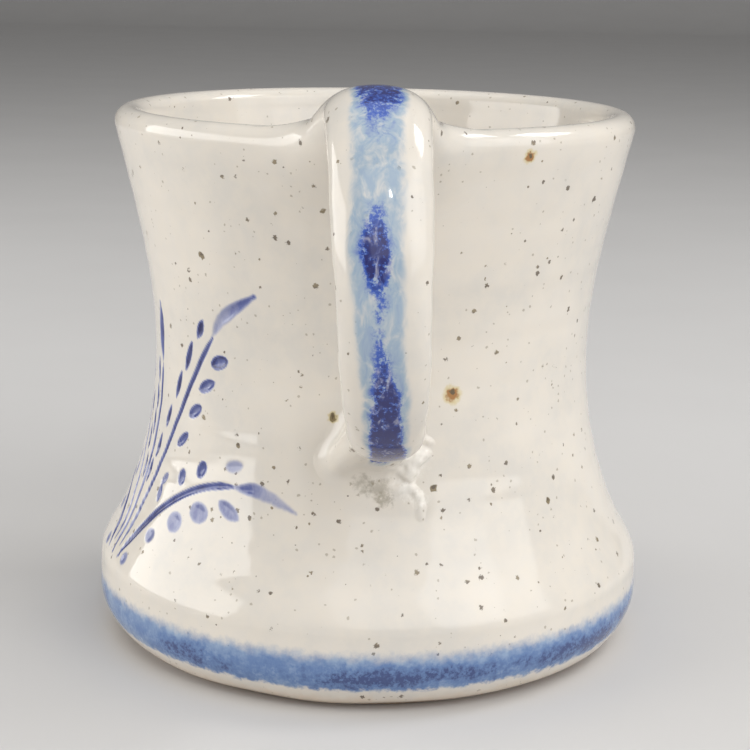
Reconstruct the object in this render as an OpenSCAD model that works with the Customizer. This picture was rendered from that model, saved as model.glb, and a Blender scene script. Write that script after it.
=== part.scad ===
// Hand-thrown stoneware mug with a pulled strap handle and cobalt decoration.
// The origin is the centre of the foot, on the surface that the mug stands on.
// +Z is up, the handle points towards -Y and the wheat spray is on the -X side.

/* [Thrown body] */
// Height of the rim above the table
mug_h = 94; // [78:1:125]
// Diameter of the foot where it meets the table
foot_d = 86; // [70:1:94]
// Widest diameter, low on the body
belly_d = 97.8; // [90:0.2:120]
// Height of the widest diameter
belly_z = 14; // [11:0.5:18]
// Diameter of the waist
waist_d = 77.4; // [64:0.2:86]
// Height of the waist
waist_z = 52.6; // [40:0.2:64]
// Diameter over the lip
rim_d = 90.6; // [80:0.2:110]
// Thickness of the wall, with its glaze
wall_t = 5.4; // [4.2:0.1:7]
// Radius of the rounded lip, with its glaze
lip_r = 2.6; // [2:0.1:3.4]
// Thickness of the clay floor
floor_t = 6; // [4:0.1:8]
// Inner radius of the corner between the wall and the floor
corner_r = 10; // [6:0.5:13]
// Inner diameter of the foot ring
foot_ring_d = 70; // [50:1:76]
// Depth of the hollow turned inside the foot ring
foot_recess = 1.4; // [0.6:0.1:2.4]

/* [Handle] */
// How far the strap's middle rises above the rim
handle_rise = 3.9; // [0:0.1:10]
// How far outside the rim the crest of the handle is
crest_out = 11.3; // [9:0.1:16]
// How far outside the rim the strap's middle reaches
handle_out = 29; // [22:0.5:38]
// How far below the rim the handle reaches furthest out
handle_drop = 21; // [16:0.5:30]
// How far outside the waist the strap turns in at the bottom
knuckle_out = 15.3; // [12:0.1:20]
// Height of the middle of the lower joint on the wall
handle_foot_z = 45; // [38:0.5:52]
// How far the strap's middle rises from the lower joint to the turn
knuckle_rise = 4.2; // [2:0.1:8]
// Width of the strap at the crest
strap_top_w = 15; // [12:0.5:20]
// Width of the strap at the bottom
strap_foot_w = 11; // [9:0.1:16]
// Thickness of the strap at the crest
strap_top_t = 8.2; // [6:0.1:10]
// Thickness of the strap at the bottom
strap_foot_t = 6.6; // [5:0.1:9]
// Depth of the thumb channel along the outside of the strap
channel_depth = 0.2; // [0:0.05:1]
// Width of the upper joint where it spreads over the lip
upper_joint_w = 34; // [24:0.5:40]
// Height of the upper joint inside the wall
upper_joint_h = 18; // [12:0.5:22]
// Width of the lower joint where it spreads on the wall
lower_joint_w = 16.5; // [14:0.5:26]
// Height of the lower joint on the wall
lower_joint_h = 18; // [12:0.5:26]
// Sideways place of the handle's top
lean_top = -0.8; // [-3:0.1:3]
// Sideways place of the handle's foot
lean_foot = 2.6; // [-3:0.1:3]

/* [Glaze and cobalt] */
// Thickness of the glaze
glaze_t = 0.4; // [0.3:0.05:0.6]
// Height of the glaze's lower edge above the table
glaze_z = 1.4; // [0.8:0.1:3]
// Thickness of the cobalt
cobalt_t = 0.15; // [0.1:0.01:0.3]
// Height of the middle of the cobalt band
band_z = 8.1; // [6:0.1:9]
// Height of the cobalt band
band_h = 5.8; // [2:0.1:6]
// Angle of the wheat spray, from the handle towards -X
spray_az = 69.5; // [60:0.5:110]
// Height of the spray's lowest point
spray_z = 17; // [15:0.5:22]
// Width of a stem's cobalt line
stem_w = 1.3; // [0.8:0.1:2]
// Width of the blade at the tip of each stem
blade_w = 2.6; // [1.6:0.1:3.4]
// Length of the blade at the tip of each stem
blade_l = 10; // [6:0.5:13]
// Width of a grain
grain_w = 2.1; // [1.2:0.1:2.6]
// Length of a grain
grain_l = 4; // [2.5:0.1:5]
// Distance of a grain's middle from its stem
grain_gap = 3.2; // [2.4:0.1:4.5]

/* [Hidden] */

turn_fn = 360;
band_steps = 12;
clay = [0.60, 0.46, 0.33];
glaze = [0.86, 0.84, 0.79];
cobalt = [0.16, 0.27, 0.55];

// Profile nodes: height, radius and the radius's slope against height
foot_slope = 1.65;
shoulder_slope = -0.464;
rim_slope = 0.23;
// The shoulder lies between the belly and the waist
shoulder_z = belly_z + 0.21 * (waist_z - belly_z);
shoulder_r = waist_d / 2 + 0.63 * (belly_d - waist_d) / 2;
// The lip's arc starts where its side has the rim's slope
rim_tilt = atan(rim_slope);
lip_c = [rim_d / 2 - lip_r, mug_h - lip_r];
lip_z = lip_c[1] - lip_r * sin(rim_tilt);
lip_side_r = lip_c[0] + lip_r * cos(rim_tilt);

foot_node = [0, foot_d / 2, foot_slope];
belly_node = [belly_z, belly_d / 2, 0];
shoulder_node = [shoulder_z, shoulder_r, shoulder_slope];
waist_node = [waist_z, waist_d / 2, 0];
lip_node = [lip_z, lip_side_r, rim_slope];

// Profile of the glazed inside, from the lip down to the corner
floor_top = floor_t + glaze_t;
in_corner = [floor_top + corner_r, belly_d / 2 - wall_t - 0.8, 0];
in_shoulder = [max(shoulder_z, in_corner[0] + 4), shoulder_r - wall_t, shoulder_slope];
in_waist = [waist_z, waist_d / 2 - wall_t, 0];
in_lip = [lip_z, lip_c[0] - lip_r * cos(rim_tilt), rim_slope];

function hermite(p, q, tp, tq, t) =
    (2 * t ^ 3 - 3 * t ^ 2 + 1) * p + (t ^ 3 - 2 * t ^ 2 + t) * tp
    + (3 * t ^ 2 - 2 * t ^ 3) * q + (t ^ 3 - t ^ 2) * tq;

// Radius at height z on the span between two profile nodes
function span_r(a, b, z) =
    let (dz = b[0] - a[0])
    hermite(a[1], b[1], a[2] * dz, b[2] * dz, (z - a[0]) / dz);

// Radius of the glazed outside at height z
function skin_r(z) =
    z <= belly_z ? span_r(foot_node, belly_node, z)
    : z <= shoulder_z ? span_r(belly_node, shoulder_node, z)
    : z <= waist_z ? span_r(shoulder_node, waist_node, z)
    : span_r(waist_node, lip_node, z);

function steps(a, b, n) = [for (i = [0 : n - 1]) a + (b - a) * i / n];

skin_zs = concat(steps(0, belly_z, 8), steps(belly_z, shoulder_z, 4),
                 steps(shoulder_z, waist_z, 9), steps(waist_z, lip_z, 10), [lip_z]);

// Outside of the mug from height z0 up to the lip, moved inwards by inset
function outer_path(inset, z0 = 0) =
    concat([[skin_r(z0) - inset, z0]],
           [for (z = skin_zs) if (z > z0) [skin_r(z) - inset, z]]);

function arc_path(c, r, a0, a1, n) =
    [for (i = [0 : n]) let (a = a0 + (a1 - a0) * i / n) c + r * [cos(a), sin(a)]];

function lip_path(inset) = arc_path(lip_c, lip_r - inset, 0, 180, 10);

// One span of the inside, from its upper node down to its lower node
function in_span(top, low, inset, n) =
    [for (z = steps(top[0], low[0], n)) [span_r(low, top, z) + inset, z]];

// Inside of the mug from the lip to the middle of the floor, moved into the clay by inset
function inner_path(inset) =
    concat(in_span(in_lip, in_waist, inset, 8), in_span(in_waist, in_shoulder, inset, 7),
           in_span(in_shoulder, in_corner, inset, 3),
           arc_path([in_corner[1] - corner_r, in_corner[0]], corner_r + inset, 0, -90, 7),
           [[0, floor_top - inset]]);

module turned(points) {
    rotate_extrude($fn = turn_fn) polygon(points);
}

// Everything inside the mug's outside, its cup included
module filled_body(inset) {
    turned(concat([[0, 0]], outer_path(inset), lip_path(inset), [[0, mug_h - inset]]));
}

// Handle: the strap's middle runs over four spans from the rim to the wall, as [out, up]
rim_start = [rim_d / 2 - 5, mug_h - 9];
crest = [rim_d / 2 + crest_out, mug_h + handle_rise];
furthest = [rim_d / 2 + handle_out, mug_h - handle_drop];
knuckle = [waist_d / 2 + knuckle_out, handle_foot_z + knuckle_rise];
wall_end = [skin_r(handle_foot_z) - 2.2, handle_foot_z - 0.8];
// The tangent length that turns a Hermite span into a quarter of an ellipse
quarter = 1.66;

function along(v) = [v[0], 0];
function upward(v) = [0, v[1]];

// Each span is its start, its end and the tangents there
spans = [
    [rim_start, crest, [14, 13], [16, 0]],
    [crest, furthest, quarter * along(furthest - crest), quarter * upward(furthest - crest)],
    [furthest, knuckle, quarter * upward(knuckle - furthest), quarter * along(knuckle - furthest)],
    [knuckle, wall_end, along(wall_end - knuckle), [wall_end[0] - knuckle[0], -6]]
];
span_steps = [7, 11, 12, 7];
crest_at = span_steps[0];
knuckle_at = crest_at + span_steps[1] + span_steps[2];
last_at = knuckle_at + span_steps[3];

function span_at(s, t) = hermite(s[0], s[1], s[2], s[3], t);
middles = concat([for (k = [0 : 3]) for (t = steps(0, 1, span_steps[k])) span_at(spans[k], t)],
                 [wall_end]);

function direction(i) =
    let (d = middles[min(i + 1, last_at)] - middles[max(i - 1, 0)])
    d / norm(d);

// How much a joint has spread at a station, from 0 on the strap to 1 in the wall
function spread(i) =
    i < crest_at ? (1 - (middles[i][0] - rim_start[0]) / (crest[0] - rim_start[0])) ^ 1.6
    : i > knuckle_at ? (1 - (middles[i][0] - wall_end[0]) / (knuckle[0] - wall_end[0])) ^ 1.8
    : 0;

function mix(a, b, t) = a + (b - a) * min(1, max(0, t));
function strap_share(i) = (i - crest_at) / (knuckle_at - crest_at);
function strap_w(i) =
    mix(mix(strap_top_w, strap_foot_w, strap_share(i)),
        i < crest_at ? upper_joint_w : lower_joint_w, spread(i));
function strap_t(i) =
    mix(mix(strap_top_t, strap_foot_t, strap_share(i)),
        i < crest_at ? upper_joint_h : lower_joint_h, spread(i));
// The lower joint is pressed over towards the spray where it meets the wall
joint_shift = 1.6;
function lean(i) = mix(lean_top, lean_foot, sin(90 * i / last_at))
    - (i > knuckle_at ? joint_shift * spread(i) : 0);

sides = 24;
roundness = 2 / 2.1;
// The upper joint is this much narrower underneath than over the lip
under_pinch = 0.85;
function signed_pow(v) = sign(v) * abs(v) ^ roundness;

// One cross-section of the handle, grown outwards by grow
function ring(i, grow) =
    let (m = middles[i], d = direction(i), out = [-d[1], d[0]],
         w = strap_w(i) / 2 + grow, t = strap_t(i) / 2 + grow,
         dent = channel_depth * (1 - spread(i)), pinch = i < crest_at ? under_pinch * spread(i) : 0)
    [for (k = [0 : sides - 1])
        let (a = 360 * k / sides, x = signed_pow(cos(a)),
             n = t * signed_pow(sin(a)) - (sin(a) > 0 ? dent * max(0, 1 - (x / 0.55) ^ 2) : 0))
        [lean(i) + w * x * (1 - pinch * (1 - sin(a)) / 2), -(m[0] + n * out[0]), m[1] + n * out[1]]];

function flatten(lists) = [for (l = lists) for (v = l) v];

// Triangles between ring j and ring j + 1 of n points each, for points a to b
function skin_faces(j, n, a, b, flip = false) =
    flatten([for (k = [a : b - 1])
        let (p = j * n + k, q = j * n + (k + 1) % n, r = p + n, s = q + n)
        flip ? [[p, s, r], [p, q, s]] : [[p, r, s], [p, s, q]]]);

// Solid length of the handle between two stations
module handle_length(i0, i1, grow = 0) {
    count = i1 - i0 + 1;
    points = flatten([for (i = [i0 : i1]) ring(i, grow)]);
    walls = flatten([for (j = [0 : count - 2]) skin_faces(j, sides, 0, sides)]);
    first = [for (k = [0 : sides - 1]) k];
    last = [for (k = [sides - 1 : -1 : 0]) (count - 1) * sides + k];
    polyhedron(points, concat(walls, [first, last]), convexity = 6);
}

// The strap takes over from its joints where they have narrowed
strap_from = crest_at - 2;
strap_to = knuckle_at + 2;

module thrown_body() {
    color(clay)
        turned(concat([[0, foot_recess], [foot_ring_d / 2 - foot_recess, foot_recess],
                       [foot_ring_d / 2, 0]],
                      surface_path(glaze_t, 0)));
}

// Length of the handle that is joined to the mug, cut to the clay wall
module joint_length(i0, i1, grow = 0) {
    difference() {
        handle_length(i0, i1, grow);
        filled_body(glaze_t);
    }
}

module upper_luting() {
    color(clay) joint_length(0, strap_from);
}

module handle_strap() {
    color(clay) handle_length(strap_from, strap_to);
}

module lower_luting() {
    color(clay) joint_length(strap_to, last_at);
}

// The whole surface from height z0 outside, over the lip, to the middle of the cup's floor
function surface_path(inset, z0) =
    concat(outer_path(inset, z0), lip_path(inset), inner_path(inset));

function backwards(v) = [for (i = [len(v) - 1 : -1 : 0]) v[i]];

module glaze_coat() {
    color(glaze) difference() {
        turned(concat(surface_path(0, glaze_z), backwards(surface_path(glaze_t, glaze_z))));
        joint_length(0, strap_from, glaze_t);
        joint_length(strap_to, last_at, glaze_t);
    }
}

module handle_glaze() {
    count = last_at + 1;
    points = concat(flatten([for (i = [0 : last_at]) ring(i, glaze_t)]),
                    flatten([for (i = [0 : last_at]) ring(i, 0)]));
    base = count * sides;
    outside = flatten([for (j = [0 : last_at - 1]) skin_faces(j, sides, 0, sides)]);
    inside = flatten([for (j = [0 : last_at - 1])
        skin_faces(j + count, sides, 0, sides, flip = true)]);
    ends = flatten([for (k = [0 : sides - 1])
        let (q = (k + 1) % sides, e = last_at * sides)
        [[k, base + q, base + k], [k, q, base + q],
         [e + k, base + e + q, e + q], [e + k, base + e + k, base + e + q]]]);
    color(glaze) difference() {
        polyhedron(points, concat(outside, inside, ends), convexity = 8);
        filled_body(glaze_t);
    }
}

module base_band() {
    low = band_z - band_h / 2;
    rise = band_h / band_steps;
    face = [for (i = [0 : band_steps])
            let (z = low + i * rise, swell = (1 + sin(180 * i / band_steps)) / 2)
            [skin_r(z) + cobalt_t * swell, z]];
    color(cobalt) difference() {
        turned(concat([[foot_d / 2 - wall_t, low]], face,
                      [[foot_d / 2 - wall_t, low + band_h]]));
        filled_body(0);
    }
}

// The brushed stroke covers the middle of the strap's outside, on the glaze's own facets
stroke_from = crest_at - 3;
stroke_to = knuckle_at - 2;
stroke_side = 4;
stroke_cols = 5;

module handle_stroke() {
    count = stroke_to - stroke_from + 1;
    function part_ring(i, grow) =
        let (r = ring(i, grow))
        [for (k = [0 : stroke_cols - 1]) r[stroke_side + k]];
    points = concat(flatten([for (i = [stroke_from : stroke_to]) part_ring(i, glaze_t + cobalt_t)]),
                    flatten([for (i = [stroke_from : stroke_to]) part_ring(i, glaze_t)]));
    base = count * stroke_cols;
    c = stroke_cols - 1;
    e = (count - 1) * stroke_cols;
    top = flatten([for (j = [0 : count - 2]) skin_faces(j, stroke_cols, 0, c)]);
    under = flatten([for (j = [0 : count - 2])
        skin_faces(j + count, stroke_cols, 0, c, flip = true)]);
    edges = flatten([for (j = [0 : count - 2])
        let (p = j * stroke_cols, q = p + stroke_cols)
        [[p, base + q, q], [p, base + p, base + q],
         [p + c, q + c, base + q + c], [p + c, base + q + c, base + p + c]]]);
    tips = flatten([for (k = [0 : c - 1])
        [[k, base + k + 1, base + k], [k, k + 1, base + k + 1],
         [e + k, base + e + k + 1, e + k + 1], [e + k, base + e + k, base + e + k + 1]]]);
    color(cobalt) polyhedron(points, concat(top, under, edges, tips), convexity = 8);
}

// Wheat spray. Each stem is [start, end, start tangent, end tangent] as [angle, height] from
// the spray's lowest point, then how many grains stand on its inner and its outer side,
// and the share of the stem where the grains begin on each side.
stems = [
    [[0, 0], [0, 35], [0, 35], [0, 35], 2, 2, 0.82, 0.82],
    [[-2, 2], [-27.5, 42], [-3, 30], [-42, 36], 5, 5, 0.42, 0.45],
    [[-4, 0.5], [-37, 17.8], [-10, 24], [-42, 2], 5, 3, 0.16, 0.6],
    [[2, 2], [27.5, 42], [3, 30], [42, 36], 5, 5, 0.45, 0.42],
    [[4, 0.5], [37, 17.8], [10, 24], [42, 2], 3, 5, 0.6, 0.16]
];
per_degree = PI / 180;

// Point on the glaze at [angle, height] from the spray's origin, lifted by off
function on_skin(p, off) =
    let (a = spray_az + p[0], z = spray_z + p[1], r = skin_r(z) + off)
    [-r * sin(a), -r * cos(a), z];

// [angle, height] reached from p by going v millimetres along the surface
function moved(p, v) = p + [v[0] / (skin_r(spray_z + p[1]) * per_degree), v[1]];

function unit(v) = v / norm(v);
// Direction from p to q along the surface, in millimetres
function heading(p, q) =
    unit([(q[0] - p[0]) * skin_r(spray_z + p[1]) * per_degree, q[1] - p[1]]);

// A tapering stroke of cobalt along points on the surface, with half-width widths
module brush(path, widths) {
    count = len(path);
    points = flatten([for (j = [0 : count - 1])
        let (d = heading(path[max(j - 1, 0)], path[min(j + 1, count - 1)]),
             side = widths[j] * [-d[1], d[0]])
        [on_skin(moved(path[j], side), 0), on_skin(moved(path[j], -side), 0),
         on_skin(moved(path[j], -side), cobalt_t / 2), on_skin(path[j], cobalt_t),
         on_skin(moved(path[j], side), cobalt_t / 2)]]);
    walls = flatten([for (j = [0 : count - 2]) skin_faces(j, 5, 0, 5)]);
    e = (count - 1) * 5;
    caps = [[0, 1, 2, 3, 4], [e + 4, e + 3, e + 2, e + 1, e]];
    polyhedron(points, concat(walls, caps), convexity = 4);
}

function stem_at(s, t) = hermite(s[0], s[1], s[2], s[3], t);

module wheat_stems() {
    n = 9;
    color(cobalt)
        for (s = stems)
            brush([for (i = [0 : n]) stem_at(s, i / n)],
                  [for (i = [0 : n]) stem_w / 2 * (1 - 0.35 * i / n)]);
}

// A leaf shape of length l and width w, its near end at p, along direction d
module lens(p, d, l, w) {
    n = 6;
    brush([for (i = [0 : n]) moved(p, d * l * i / n)],
          [for (i = [0 : n]) 0.12 + w / 2 * sin(180 * i / n) ^ 0.8]);
}

module wheat_blades() {
    color(cobalt)
        for (s = stems) {
            d = heading(stem_at(s, 0.9), s[1]);
            lens(moved(s[1], 0.4 * d), d, blade_l, blade_w);
        }
}

function turned_by(v, a) = [v[0] * cos(a) - v[1] * sin(a), v[0] * sin(a) + v[1] * cos(a)];

module grain_row(s, count, from, hand) {
    for (i = [0 : count - 1]) {
        t = from + (0.97 - from) * i / (count - 1);
        d = heading(stem_at(s, t - 0.02), stem_at(s, t));
        out = hand * [-d[1], d[0]];
        lean_out = turned_by(d, hand * 22);
        lens(moved(stem_at(s, t), grain_gap * out - grain_l / 2 * lean_out), lean_out,
             grain_l, grain_w);
    }
}

module wheat_grains() {
    color(cobalt)
        for (s = stems) {
            grain_row(s, s[4], s[6], 1);
            grain_row(s, s[5], s[7], -1);
        }
}

thrown_body();
upper_luting();
handle_strap();
lower_luting();
glaze_coat();
handle_glaze();
base_band();
handle_stroke();
wheat_stems();
wheat_blades();
wheat_grains();
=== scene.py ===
"""Looks of the hand-thrown stoneware mug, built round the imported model.

Lengths are in millimetres in the shape code and become metres when a mesh is made.
Angles round the mug are measured from the handle (-Y) towards the wheat spray (-X).
"""

import math

import bpy
import numpy as np
from mathutils import Matrix, Vector


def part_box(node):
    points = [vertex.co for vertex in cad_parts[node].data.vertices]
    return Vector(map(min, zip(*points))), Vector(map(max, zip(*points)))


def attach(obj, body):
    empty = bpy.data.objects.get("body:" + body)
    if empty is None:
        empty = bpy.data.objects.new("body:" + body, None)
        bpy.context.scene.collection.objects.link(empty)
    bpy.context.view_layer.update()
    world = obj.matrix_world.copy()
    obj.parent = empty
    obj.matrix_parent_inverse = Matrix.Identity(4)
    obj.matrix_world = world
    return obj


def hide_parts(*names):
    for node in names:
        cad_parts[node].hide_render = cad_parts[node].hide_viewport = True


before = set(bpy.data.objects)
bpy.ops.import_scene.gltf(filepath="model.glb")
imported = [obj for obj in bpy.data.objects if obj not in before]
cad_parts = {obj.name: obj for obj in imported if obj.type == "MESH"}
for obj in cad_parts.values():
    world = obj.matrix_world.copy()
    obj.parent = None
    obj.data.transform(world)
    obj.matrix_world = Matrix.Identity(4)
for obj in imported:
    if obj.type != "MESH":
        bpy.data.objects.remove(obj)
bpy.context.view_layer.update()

MM = 0.001


def cad_box(node):
    """Lowest and highest corners of a CAD node, in millimetres."""
    low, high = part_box(node)
    return np.array(low) / MM, np.array(high) / MM


# ---- sizes from the frame

COAT_LOW, COAT_HIGH = cad_box("glaze_coat")
HANDLE_LOW = cad_box("handle_glaze")[0]
BAND_LOW, BAND_HIGH = cad_box("base_band")
SPRAY_Z = cad_box("wheat_stems")[0][2] - 0.5

RIM_Z = COAT_HIGH[2]
GLAZE_EDGE_Z = COAT_LOW[2]
BELLY_R = COAT_HIGH[0] - 0.16
BAND_Z = (BAND_LOW[2] + BAND_HIGH[2]) / 2
BAND_HALF = (BAND_HIGH[2] - BAND_LOW[2]) / 2
# Between the glazed floor of the cup and the outside of the foot
BAND_INNER_R = 43.8

# ---- body profile

FOOT_R = 43.0
BELLY_Z = 14.0
SHOULDER_Z = 22.1
SHOULDER_R = 45.13
WAIST_R = 38.7
WAIST_Z = 52.6
RIM_R = 45.3
LIP_R = 2.6
WALL_T = 5.4
FLOOR_Z = 6.4
CORNER_R = 10.0
RIM_SLOPE = 0.23
FOOT_RING_R = 35.0
FOOT_RECESS = 1.4

RIM_TILT = math.atan(RIM_SLOPE)
LIP_CR = RIM_R - LIP_R
LIP_CZ = RIM_Z - LIP_R
LIP_Z = LIP_CZ - LIP_R * math.sin(RIM_TILT)

# Height, radius and slope of the outside and of the inside
OUTSIDE = [(0.0, FOOT_R, 1.65), (BELLY_Z, BELLY_R, 0.0), (SHOULDER_Z, SHOULDER_R, -0.464),
           (WAIST_Z, WAIST_R, 0.0), (LIP_Z, LIP_CR + LIP_R * math.cos(RIM_TILT), RIM_SLOPE)]
INSIDE = [(FLOOR_Z + CORNER_R, BELLY_R - WALL_T - 0.8, 0.0),
          (SHOULDER_Z, SHOULDER_R - WALL_T, -0.464), (WAIST_Z, WAIST_R - WALL_T, 0.0),
          (LIP_Z, LIP_CR - LIP_R * math.cos(RIM_TILT), RIM_SLOPE)]


def hermite(p, q, tp, tq, t):
    return ((2 * t**3 - 3 * t**2 + 1) * p + (t**3 - 2 * t**2 + t) * tp
            + (3 * t**2 - 2 * t**3) * q + (t**3 - t**2) * tq)


def profile_r(nodes, z):
    """Radius of a profile at heights z."""
    z = np.asarray(z, float)
    r = np.full(z.shape, nodes[0][1])
    for (z0, r0, s0), (z1, r1, s1) in zip(nodes, nodes[1:]):
        dz = z1 - z0
        span = hermite(r0, r1, s0 * dz, s1 * dz, (z - z0) / dz)
        r = np.where(z >= z0, span, r)
    return r


def profile_slope(nodes, z):
    return (profile_r(nodes, z + 0.05) - profile_r(nodes, z - 0.05)) / 0.1


def smoothstep(a, b, v):
    t = np.clip((np.asarray(v, float) - a) / (b - a), 0, 1)
    return t * t * (3 - 2 * t)


def throwing_relief(a, z):
    """Faint throwing rings and wobble of the outside, in mm along the surface normal."""
    rings = 0.024 * np.sin(z * 0.92 + 0.7 * np.sin(a + 0.4) + 1.0)
    rings = rings + 0.013 * np.sin(z * 1.63 + 0.5 * np.sin(2 * a) + 2.1)
    wobble = 0.06 * np.sin(2 * a + 0.5 + z * 0.02) + 0.018 * np.sin(5 * a + 1.3 + z * 0.05)
    keep = smoothstep(RIM_Z, RIM_Z - 6, z) * smoothstep(0, 5, z)
    return (rings + wobble) * keep


# ---- wheat spray

# A stem is its start, end, start tangent and end tangent as (degrees, mm) from the fan's
# foot. A grain's style is its gap from the stem, its size and turn, how much ink it holds, how
# deep it is pressed, and how hollow, soft-edged or pointed it is.
SPRAY_AZ = 69.5
SLIVER = dict(gap=3.0, length=5.0, width=1.2, turn=10, ink=1.0, depth=0.3, hollow=0.0, flat=1.0)
BEAD = dict(gap=3.5, length=4.2, width=2.3, turn=50, ink=0.97, depth=0.42, hollow=0.5)
PALE = dict(gap=4.0, length=3.6, width=2.9, turn=30, ink=0.42, depth=0.16, hollow=0.0, soft=0.4)
WASH = dict(gap=3.2, length=4.2, width=2.1, turn=24, ink=0.3, depth=0.1, hollow=0.0, soft=0.5)

TALL_STEM = ((-2.2, 2.0), (-27.3, 41.6), (-3.0, 30.0), (-42.0, 36.0))
LOW_STEM = ((-4.0, 0.6), (-36.5, 17.8), (-10.0, 24.0), (-42.0, 1.0))
MIDDLE_STEM = ((0.0, 0.4), (-1.0, 34.0), (2.0, 36.0), (1.0, 32.0))


def on_stem(stem, t):
    return np.array([hermite(stem[0][i], stem[1][i], stem[2][i], stem[3][i], t) for i in (0, 1)])


def radius_here(p):
    return float(profile_r(OUTSIDE, SPRAY_Z + p[1]))


def to_mm(p, v):
    """A step v in (degrees, mm) at p, as millimetres along the surface."""
    return np.array([v[0] * radius_here(p) * math.radians(1), v[1]])


def step_mm(p, v):
    """The point v millimetres along the surface from p."""
    return np.array([p[0] + v[0] / (radius_here(p) * math.radians(1)), p[1] + v[1]])


def turned(v, degrees):
    c, s = math.cos(math.radians(degrees)), math.sin(math.radians(degrees))
    return np.array([v[0] * c - v[1] * s, v[0] * s + v[1] * c])


def stroke(points, widths, ink, soft, depth, hollow=0.0):
    """One brushed or pressed mark: a path on the surface with its half-widths."""
    return dict(points=np.array(points), widths=np.array(widths), ink=np.array(ink), soft=soft,
                depth=depth, hollow=hollow)


def stem_stroke(stem, width, ink0, ink1, depth):
    ts = np.linspace(0, 1, 25)
    taper = np.clip(np.minimum(ts / 0.12, (1 - ts) / 0.1 + 0.35), 0.25, 1)
    return stroke([on_stem(stem, t) for t in ts], width / 2 * taper,
                  ink0 + (ink1 - ink0) * ts, 0.2, depth)


def heading(stem, t):
    p = on_stem(stem, t)
    v = to_mm(p, on_stem(stem, t + 0.01) - on_stem(stem, t - 0.01))
    return v / np.linalg.norm(v)


def grain_stroke(stem, t, side, hand, style, **changes):
    """A grain beside the stem; side is 1 on the left of its direction and -1 on the right."""
    s = dict(style, **changes)
    p, d = on_stem(stem, t), heading(stem, t)
    middle = step_mm(p, s["gap"] * side * np.array([-d[1], d[0]]))
    axis = turned(d, s["turn"] * side * hand)
    ts = np.linspace(-1, 1, 9)
    flat = s.get("flat", 0.75)
    points = [step_mm(middle, axis * s["length"] / 2 * (t1 * (1 - s["width"] / s["length"] * 0.45)))
              for t1 in ts]
    widths = s["width"] / 2 * np.clip(1 - np.abs(ts) ** 2.2 * flat, 0.12, 1)
    return stroke(points, widths, np.full(9, s["ink"]), s.get("soft", 0.22), s["depth"],
                  s.get("hollow", 0.35))


def blade_stroke(start, directions, width, inks, depth):
    """A leaf blade: a soft curved wash that starts at a stem's tip."""
    points = [np.array(start)]
    for v in directions:
        points.append(step_mm(points[-1], np.array(v)))
    fine_t = np.linspace(0, len(points) - 1, 22)
    path = np.array([np.interp(fine_t, range(len(points)), [p[i] for p in points])
                     for i in (0, 1)]).T
    share = fine_t / fine_t[-1]
    widths = width / 2 * np.clip(np.sin(np.pi * share ** 0.9) ** 0.75, 0.24, 1)
    return stroke(path, widths, np.interp(share, np.linspace(0, 1, len(inks)), inks), 0.45, depth)


def mirrored(stem):
    """The same stem on the other side of the fan."""
    return tuple((-p[0], p[1]) for p in stem)


def half_spray(flip):
    """The tall and the low stem of one side, with their grains and blades."""
    tall = mirrored(TALL_STEM) if flip else TALL_STEM
    low = mirrored(LOW_STEM) if flip else LOW_STEM
    sign = -1 if flip else 1
    outer = -sign
    marks = [stem_stroke(tall, 0.85, 0.75, 0.85, 0.34), stem_stroke(low, 1.15, 0.95, 0.62, 0.34)]
    for t, length, width in [(0.34, 4.6, 1.0), (0.45, 5.0, 1.1), (0.58, 4.6, 1.1),
                             (0.72, 5.6, 1.15), (0.85, 6.2, 1.3), (0.98, 4.4, 1.4)]:
        marks.append(grain_stroke(tall, t, outer, 1, SLIVER, length=length, width=width))
    for t, ink, length, width, turn in [(0.4, 0.6, 3.0, 1.2, 15), (0.58, 0.95, 4.2, 1.5, 22),
                                        (0.71, 0.9, 4.4, 1.9, 27), (0.83, 0.92, 4.7, 1.9, 30),
                                        (0.95, 1.0, 4.4, 2.2, 32)]:
        marks.append(grain_stroke(tall, t, -outer, 1, BEAD, ink=ink, length=length, width=width,
                                  turn=turn))
    for t, ink, length, width in [(0.43, 0.75, 3.2, 1.2), (0.63, 0.62, 3.0, 1.9),
                                  (0.78, 0.8, 3.2, 2.1)]:
        marks.append(grain_stroke(low, t, outer, 1, BEAD, ink=ink, length=length, width=width,
                                  gap=3.0, hollow=0.3))
    marks.append(grain_stroke(low, 0.99, outer, 1, WASH, gap=3.3, turn=12))
    for t, length, width, gap in [(0.06, 2.0, 1.9, 2.4), (0.32, 2.5, 2.3, 3.0),
                                  (0.54, 3.6, 3.3, 3.7), (0.74, 4.4, 3.3, 3.8),
                                  (0.98, 5.6, 2.3, 3.8)]:
        marks.append(grain_stroke(low, t, -outer, 1, PALE, length=length, width=width, gap=gap))
    tip = step_mm(on_stem(tall, 1.0), np.array([0.1 * sign, 0.2]))
    marks.append(blade_stroke(tip, [(-2.4 * sign, 3.3), (-2.9 * sign, 2.1), (-4.4 * sign, 2.7)],
                              2.2, [0.28, 0.26, 0.34, 0.6, 0.72], 0.3))
    tip = step_mm(on_stem(low, 1.0), np.array([-0.5 * sign, 0.0]))
    marks.append(blade_stroke(tip, [(-3.4 * sign, 0.2), (-3.7 * sign, -0.9), (-4.2 * sign, -1.9)],
                              2.2, [0.42, 0.55, 0.24, 0.24, 0.26], 0.22))
    return marks


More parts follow.
